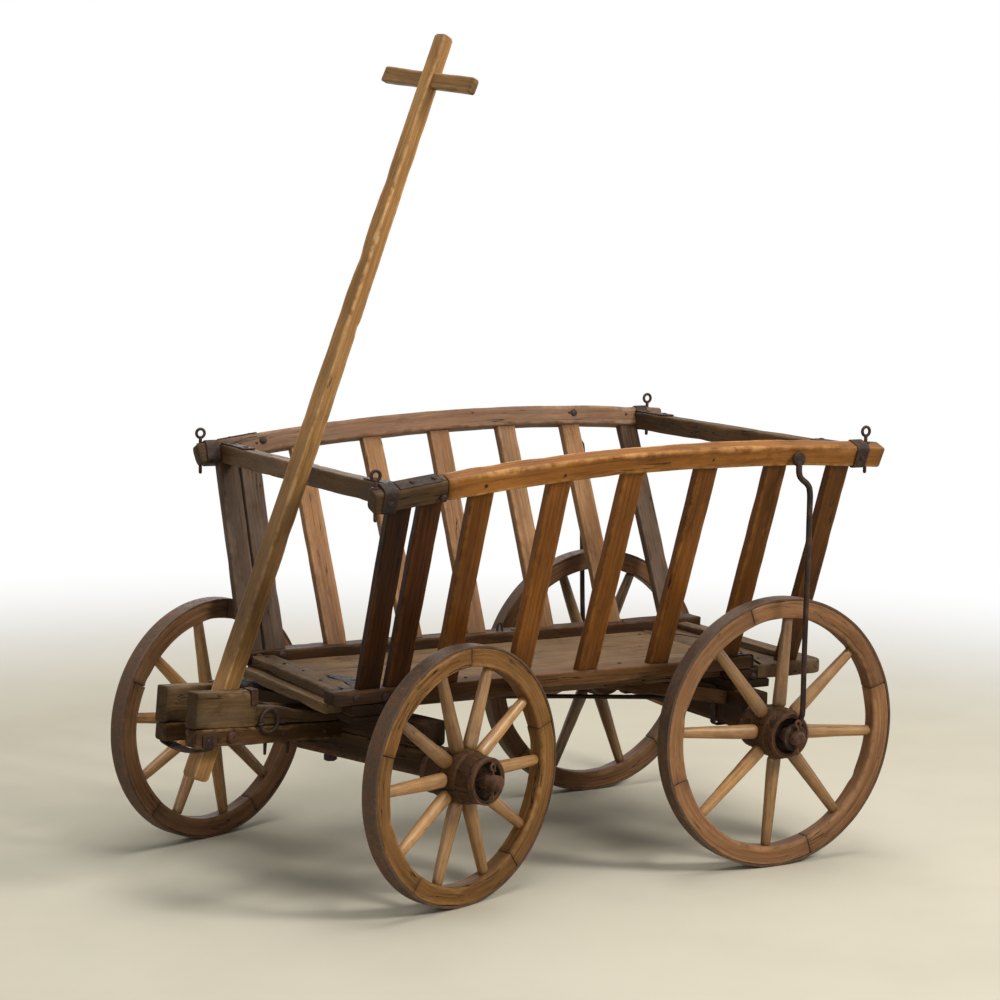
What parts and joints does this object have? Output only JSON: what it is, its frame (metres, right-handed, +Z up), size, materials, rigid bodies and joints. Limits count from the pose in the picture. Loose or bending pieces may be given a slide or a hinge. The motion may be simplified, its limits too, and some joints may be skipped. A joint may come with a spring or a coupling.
{
  "type": "weathered wooden cart",
  "caption": "Weathered wooden hand cart: spoked wheels with iron tyres, slatted flared sides, a steered front axle with a fork, and a long drawbar with a crosspiece.",
  "frame": {"origin": "on the ground under the middle of the cart's bounding box as it is parked", "axes": "+Z up, the front of the cart and its drawbar towards -X, the cart's left side towards -Y"},
  "size_m": [1.2284, 0.722, 1.3535],
  "materials": {
    "floor_wood": "weathered, dry, matt",
    "grey_wood": "weathered grey, matt",
    "side_wood": "old varnish, worn, dull",
    "frame_wood": "dark, dirty, matt",
    "fork_wood": "worn brown, dull",
    "pole_wood": "hand worn, slight sheen",
    "hub_wood": "dark, cracked, matt",
    "spoke_wood": "old varnish, worn",
    "felloe_wood": "worn brown, dull",
    "forged_iron": "dark, rusty, matt",
    "tyre_iron": "rust and dust, matt"
  },
  "bodies": {
    "body": {"floor_boards": "floor_wood", "floor_strips": "grey_wood", "left_sill": "frame_wood", "right_sill": "frame_wood", "front_cross_plank": "grey_wood", "rear_cross_plank": "grey_wood", "left_stakes": "side_wood", "right_stakes": "side_wood", "left_top_rail": "side_wood", "right_top_rail": "side_wood", "front_cross_rail": "grey_wood", "rear_cross_rail": "side_wood", "corner_irons": "forged_iron", "eye_pins": "forged_iron", "wheel_stays": "forged_iron", "front_transom": "frame_wood", "rear_bolster": "frame_wood", "rear_axle_beam": "frame_wood", "rear_axle_iron": "forged_iron", "rear_axle_clips": "forged_iron", "rear_linchpins": "forged_iron", "rear_hounds": "frame_wood", "tie_rod": "forged_iron", "kingpin": "forged_iron", "floor_plate": "forged_iron"},
    "front_axle": {"front_axle_beam": "fork_wood", "front_bolster": "frame_wood", "front_axle_iron": "forged_iron", "front_linchpins": "forged_iron", "left_fork_arm": "fork_wood", "right_fork_arm": "fork_wood", "left_cheek": "grey_wood", "right_cheek": "grey_wood", "fork_strap": "forged_iron", "fork_bolt": "forged_iron", "lashing_eye": "forged_iron"},
    "drawbar": {"drawbar_pole": "pole_wood", "drawbar_crosspiece": "pole_wood"},
    "front_left_wheel": {"front_left_hub": "hub_wood", "front_left_hub_bands": "forged_iron", "front_left_spokes": "spoke_wood", "front_left_felloes": "felloe_wood", "front_left_tyre": "tyre_iron"},
    "front_right_wheel": {"front_right_hub": "hub_wood", "front_right_hub_bands": "forged_iron", "front_right_spokes": "spoke_wood", "front_right_felloes": "felloe_wood", "front_right_tyre": "tyre_iron"},
    "rear_left_wheel": {"rear_left_hub": "hub_wood", "rear_left_hub_bands": "forged_iron", "rear_left_spokes": "spoke_wood", "rear_left_felloes": "felloe_wood", "rear_left_tyre": "tyre_iron"},
    "rear_right_wheel": {"rear_right_hub": "hub_wood", "rear_right_hub_bands": "forged_iron", "rear_right_spokes": "spoke_wood", "rear_right_felloes": "felloe_wood", "rear_right_tyre": "tyre_iron"}
  },
  "joints": [
    {"name": "steering", "type": "hinge", "parent": "body", "child": "front_axle", "pos_m": [-0.28575, 0, 0.281], "axis": [0, 0, 1], "range_deg": [-37, 0.5]},
    {"name": "drawbar_pivot", "type": "hinge", "parent": "front_axle", "child": "drawbar", "pos_m": [-0.53042, -0.08186, 0.26466], "axis": [0.3173, -0.9483, 0], "range_deg": [0, 108]},
    {"name": "front_left_axle", "type": "hinge", "parent": "front_axle", "child": "front_left_wheel", "pos_m": [-0.19278, -0.27786, 0.205], "axis": [-0.3173, 0.9483, 0], "continuous": true},
    {"name": "front_right_axle", "type": "hinge", "parent": "front_axle", "child": "front_right_wheel", "pos_m": [-0.37872, 0.27786, 0.205], "axis": [-0.3173, 0.9483, 0], "continuous": true},
    {"name": "rear_left_axle", "type": "hinge", "parent": "body", "child": "rear_left_wheel", "pos_m": [0.38925, -0.293, 0.225], "axis": [0, 1, 0], "continuous": true},
    {"name": "rear_right_axle", "type": "hinge", "parent": "body", "child": "rear_right_wheel", "pos_m": [0.38925, 0.293, 0.225], "axis": [0, 1, 0], "continuous": true}
  ]
}
